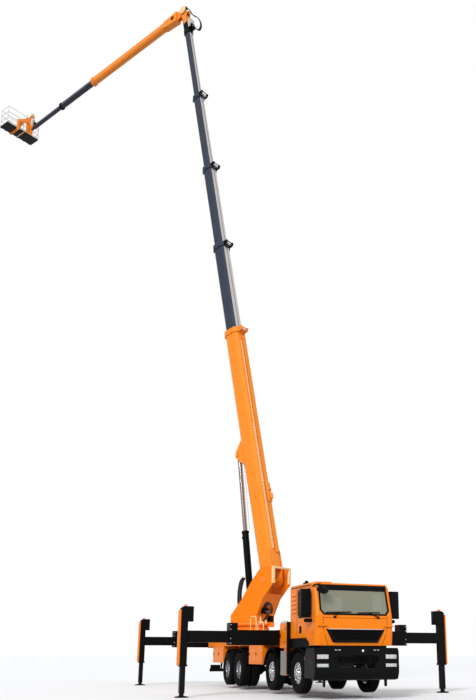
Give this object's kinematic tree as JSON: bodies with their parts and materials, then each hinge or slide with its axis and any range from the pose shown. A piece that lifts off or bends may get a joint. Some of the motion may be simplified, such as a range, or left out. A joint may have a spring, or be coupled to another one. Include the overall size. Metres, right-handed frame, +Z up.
{
  "type": "cherry picker truck",
  "caption": "Four-axle truck carrying a telescoping work platform: slewing turret, raised boom, telescoping jib with a basket, and spread outriggers.",
  "frame": {"origin": "middle of the ground it covers as it stands, at ground level", "axes": "+Z up, -Y towards the truck's front, +X towards its left"},
  "size_m": [15.7973, 26.4066, 33.7104],
  "materials": {
    "orange_paint": "gloss",
    "cabinet_paint": "gloss",
    "black_frame": "satin",
    "black_beam": "gloss",
    "leg_steel": "satin",
    "slate_paint": "gloss",
    "engine_grey": "matte",
    "guard_plastic": "matte",
    "bumper_plastic": "satin",
    "cab_glass": "gloss",
    "cab_trim": "matte",
    "tyre": "matte",
    "wheel_chrome": "polished",
    "black_barrel": "gloss",
    "rod_chrome": "polished",
    "rail_aluminium": "satin"
  },
  "bodies": {
    "truck": {"chassis_frame": "black_frame", "outrigger_boxes": "black_frame", "service_body": "orange_paint", "engine_block": "engine_grey", "front_axles": "black_frame", "rear_axles": "black_frame", "mudguards": "guard_plastic", "front_bumper": "bumper_plastic", "front_grille": "guard_plastic", "cab_shell": "orange_paint", "cab_glass": "cab_glass", "cab_interior": "cab_trim", "valve_cabinet": "cabinet_paint"},
    "door_left": {"door_left": "orange_paint"},
    "door_right": {"door_right": "orange_paint"},
    "knuckle_1_left": {"knuckle_1_left": "black_frame"},
    "knuckle_1_right": {"knuckle_1_right": "black_frame"},
    "knuckle_2_left": {"knuckle_2_left": "black_frame"},
    "knuckle_2_right": {"knuckle_2_right": "black_frame"},
    "wheel_1_left": {"tyre_1_left": "tyre", "wheel_1_left": "wheel_chrome"},
    "wheel_1_right": {"tyre_1_right": "tyre", "wheel_1_right": "wheel_chrome"},
    "wheel_2_left": {"tyre_2_left": "tyre", "wheel_2_left": "wheel_chrome"},
    "wheel_2_right": {"tyre_2_right": "tyre", "wheel_2_right": "wheel_chrome"},
    "wheel_3_left": {"tyre_3_left": "tyre", "wheel_3_left": "wheel_chrome"},
    "wheel_3_right": {"tyre_3_right": "tyre", "wheel_3_right": "wheel_chrome"},
    "wheel_4_left": {"tyre_4_left": "tyre", "wheel_4_left": "wheel_chrome"},
    "wheel_4_right": {"tyre_4_right": "tyre", "wheel_4_right": "wheel_chrome"},
    "beam_front_left": {"outrigger_beam_front_left": "black_beam"},
    "jack_front_left": {"jack_post_front_left": "black_beam"},
    "leg_front_left": {"jack_leg_front_left": "leg_steel"},
    "beam_front_right": {"outrigger_beam_front_right": "black_beam"},
    "jack_front_right": {"jack_post_front_right": "black_beam"},
    "leg_front_right": {"jack_leg_front_right": "leg_steel"},
    "beam_rear_left": {"outrigger_beam_rear_left": "black_beam"},
    "jack_rear_left": {"jack_post_rear_left": "black_beam"},
    "leg_rear_left": {"jack_leg_rear_left": "leg_steel"},
    "beam_rear_right": {"outrigger_beam_rear_right": "black_beam"},
    "jack_rear_right": {"jack_post_rear_right": "black_beam"},
    "leg_rear_right": {"jack_leg_rear_right": "leg_steel"},
    "turret": {"turret": "orange_paint"},
    "boom_base": {"boom_base": "orange_paint"},
    "luff_barrel": {"luff_barrel": "black_barrel"},
    "luff_rod": {"luff_rod": "rod_chrome"},
    "boom_section_2": {"boom_section_2": "slate_paint"},
    "boom_section_3": {"boom_section_3": "slate_paint"},
    "boom_section_4": {"boom_section_4": "slate_paint"},
    "boom_section_5": {"boom_section_5": "slate_paint"},
    "jib_base": {"jib_base": "orange_paint"},
    "jib_section_2": {"jib_section_2": "slate_paint"},
    "jib_section_3": {"jib_section_3": "slate_paint"},
    "basket_arm": {"basket_arm": "orange_paint"},
    "basket": {"basket_cage": "rail_aluminium"}
  },
  "joints": [
    {"name": "door_left_hinge", "type": "hinge", "parent": "truck", "child": "door_left", "pos_m": [4.7905, -12.8285, 2.2], "axis": [0, 0, -1], "range_deg": [0, 65]},
    {"name": "door_right_hinge", "type": "hinge", "parent": "truck", "child": "door_right", "pos_m": [2.4665, -12.8285, 2.2], "axis": [0, 0, 1], "range_deg": [0, 65]},
    {"name": "steer_1_left", "type": "hinge", "parent": "truck", "child": "knuckle_1_left", "pos_m": [4.4185, -11.7285, 0.658], "axis": [0, 0, 1], "range_deg": [-30, 30]},
    {"name": "steer_1_right", "type": "hinge", "parent": "truck", "child": "knuckle_1_right", "pos_m": [2.8385, -11.7285, 0.658], "axis": [0, 0, 1], "range_deg": [-30, 30]},
    {"name": "steer_2_left", "type": "hinge", "parent": "truck", "child": "knuckle_2_left", "pos_m": [4.4185, -9.5545, 0.658], "axis": [0, 0, 1], "range_deg": [-24, 24]},
    {"name": "steer_2_right", "type": "hinge", "parent": "truck", "child": "knuckle_2_right", "pos_m": [2.8385, -9.5545, 0.658], "axis": [0, 0, 1], "range_deg": [-24, 24]},
    {"name": "spin_1_left", "type": "hinge", "parent": "knuckle_1_left", "child": "wheel_1_left", "pos_m": [4.6455, -11.7285, 0.658], "axis": [1, 0, 0], "continuous": true},
    {"name": "spin_1_right", "type": "hinge", "parent": "knuckle_1_right", "child": "wheel_1_right", "pos_m": [2.6115, -11.7285, 0.658], "axis": [1, 0, 0], "continuous": true},
    {"name": "spin_2_left", "type": "hinge", "parent": "knuckle_2_left", "child": "wheel_2_left", "pos_m": [4.6455, -9.5545, 0.658], "axis": [1, 0, 0], "continuous": true},
    {"name": "spin_2_right", "type": "hinge", "parent": "knuckle_2_right", "child": "wheel_2_right", "pos_m": [2.6115, -9.5545, 0.658], "axis": [1, 0, 0], "continuous": true},
    {"name": "spin_3_left", "type": "hinge", "parent": "truck", "child": "wheel_3_left", "pos_m": [4.7205, -6.3665, 0.658], "axis": [1, 0, 0], "continuous": true},
    {"name": "spin_3_right", "type": "hinge", "parent": "truck", "child": "wheel_3_right", "pos_m": [2.5365, -6.3665, 0.658], "axis": [1, 0, 0], "continuous": true},
    {"name": "spin_4_left", "type": "hinge", "parent": "truck", "child": "wheel_4_left", "pos_m": [4.7205, -4.9975, 0.658], "axis": [1, 0, 0], "continuous": true},
    {"name": "spin_4_right", "type": "hinge", "parent": "truck", "child": "wheel_4_right", "pos_m": [2.5365, -4.9975, 0.658], "axis": [1, 0, 0], "continuous": true},
    {"name": "beam_front_left_slide", "type": "slide", "parent": "truck", "child": "beam_front_left", "axis": [1, 0, 0], "range_m": [-1.775, 0]},
    {"name": "jack_front_left_slide", "type": "slide", "parent": "beam_front_left", "child": "jack_front_left", "axis": [1, 0, 0], "range_m": [-1.194, 0]},
    {"name": "leg_front_left_slide", "type": "slide", "parent": "jack_front_left", "child": "leg_front_left", "axis": [0, 0, 1], "range_m": [-0.15, 0.7]},
    {"name": "beam_front_right_slide", "type": "slide", "parent": "truck", "child": "beam_front_right", "axis": [-1, 0, 0], "range_m": [-1.775, 0]},
    {"name": "jack_front_right_slide", "type": "slide", "parent": "beam_front_right", "child": "jack_front_right", "axis": [-1, 0, 0], "range_m": [-1.194, 0]},
    {"name": "leg_front_right_slide", "type": "slide", "parent": "jack_front_right", "child": "leg_front_right", "axis": [0, 0, 1], "range_m": [-0.15, 0.7]},
    {"name": "beam_rear_left_slide", "type": "slide", "parent": "truck", "child": "beam_rear_left", "axis": [1, 0, 0], "range_m": [-1.475, 0]},
    {"name": "jack_rear_left_slide", "type": "slide", "parent": "beam_rear_left", "child": "jack_rear_left", "axis": [1, 0, 0], "range_m": [-1.094, 0]},
    {"name": "leg_rear_left_slide", "type": "slide", "parent": "jack_rear_left", "child": "leg_rear_left", "axis": [0, 0, 1], "range_m": [-0.15, 0.7]},
    {"name": "beam_rear_right_slide", "type": "slide", "parent": "truck", "child": "beam_rear_right", "axis": [-1, 0, 0], "range_m": [-1.475, 0]},
    {"name": "jack_rear_right_slide", "type": "slide", "parent": "beam_rear_right", "child": "jack_rear_right", "axis": [-1, 0, 0], "range_m": [-1.094, 0]},
    {"name": "leg_rear_right_slide", "type": "slide", "parent": "jack_rear_right", "child": "leg_rear_right", "axis": [0, 0, 1], "range_m": [-0.15, 0.7]},
    {"name": "slew", "type": "hinge", "parent": "truck", "child": "turret", "pos_m": [3.6285, -4.0125, 2.2], "axis": [0, 0, 1], "continuous": true},
    {"name": "luff", "type": "hinge", "parent": "turret", "child": "boom_base", "pos_m": [4.12204, -4.82424, 3.85], "axis": [-0.8545, -0.5195, 0], "range_deg": [-1.9, 78.1]},
    {"name": "luff_barrel_hinge", "type": "hinge", "parent": "turret", "child": "luff_barrel", "pos_m": [3.59213, -3.95269, 2.9], "axis": [-0.8545, -0.5195, 0], "range_deg": [-2.5, 80.95]},
    {"name": "luff_rod_slide", "type": "slide", "parent": "luff_barrel", "child": "luff_rod", "axis": [-0.0659, 0.1085, 0.9919], "range_m": [-1.762, 0.05]},
    {"name": "boom_extend_2", "type": "slide", "parent": "boom_base", "child": "boom_section_2", "axis": [-0.1071, 0.1762, 0.9785], "range_m": [-4.2, 4]},
    {"name": "boom_extend_3", "type": "slide", "parent": "boom_section_2", "child": "boom_section_3", "axis": [-0.1071, 0.1762, 0.9785], "range_m": [-4.2, 4]},
    {"name": "boom_extend_4", "type": "slide", "parent": "boom_section_3", "child": "boom_section_4", "axis": [-0.1071, 0.1762, 0.9785], "range_m": [-4.2, 4]},
    {"name": "boom_extend_5", "type": "slide", "parent": "boom_section_4", "child": "boom_section_5", "axis": [-0.1071, 0.1762, 0.9785], "range_m": [-4.2, 4]},
    {"name": "jib_fold", "type": "hinge", "parent": "boom_section_5", "child": "jib_base", "pos_m": [0.88038, 0.50736, 33.45968], "axis": [0.8545, 0.5195, 0], "range_deg": [-40, 81.4]},
    {"name": "jib_extend_2", "type": "slide", "parent": "jib_base", "child": "jib_section_2", "axis": [-0.5187, 0.853, -0.0576], "range_m": [-2.75, 3]},
    {"name": "jib_extend_3", "type": "slide", "parent": "jib_section_2", "child": "jib_section_3", "axis": [-0.5187, 0.853, -0.0576], "range_m": [-2.75, 3]},
    {"name": "basket_level", "type": "hinge", "parent": "jib_section_3", "child": "basket_arm", "pos_m": [-6.05667, 11.9168, 32.68976], "axis": [-0.8545, -0.5195, 0], "range_deg": [-85, 85]},
    {"name": "basket_swing", "type": "hinge", "parent": "basket_arm", "child": "basket", "pos_m": [-6.11901, 12.01933, 33.18976], "axis": [0, 0, 1], "range_deg": [-80, 80]}
  ],
  "couplings": [
    {"joint": "steer_1_right", "follows": "steer_1_left", "ratio": 1},
    {"joint": "steer_2_left", "follows": "steer_1_left", "ratio": 0.78},
    {"joint": "steer_2_right", "follows": "steer_1_left", "ratio": 0.78},
    {"joint": "jack_front_left_slide", "follows": "beam_front_left_slide", "ratio": 0.67211},
    {"joint": "jack_front_right_slide", "follows": "beam_front_right_slide", "ratio": 0.67211},
    {"joint": "jack_rear_left_slide", "follows": "beam_rear_left_slide", "ratio": 0.74102},
    {"joint": "jack_rear_right_slide", "follows": "beam_rear_right_slide", "ratio": 0.74102},
    {"joint": "luff_barrel_hinge", "follows": "luff", "ratio": 1.0173},
    {"joint": "luff_rod_slide", "follows": "luff", "m_per_rad": -1.2853},
    {"joint": "boom_extend_3", "follows": "boom_extend_2", "ratio": 1},
    {"joint": "boom_extend_4", "follows": "boom_extend_2", "ratio": 1},
    {"joint": "boom_extend_5", "follows": "boom_extend_2", "ratio": 1},
    {"joint": "jib_extend_3", "follows": "jib_extend_2", "ratio": 1},
    {"joint": "basket_level", "follows": "jib_fold", "ratio": 1}
  ]
}
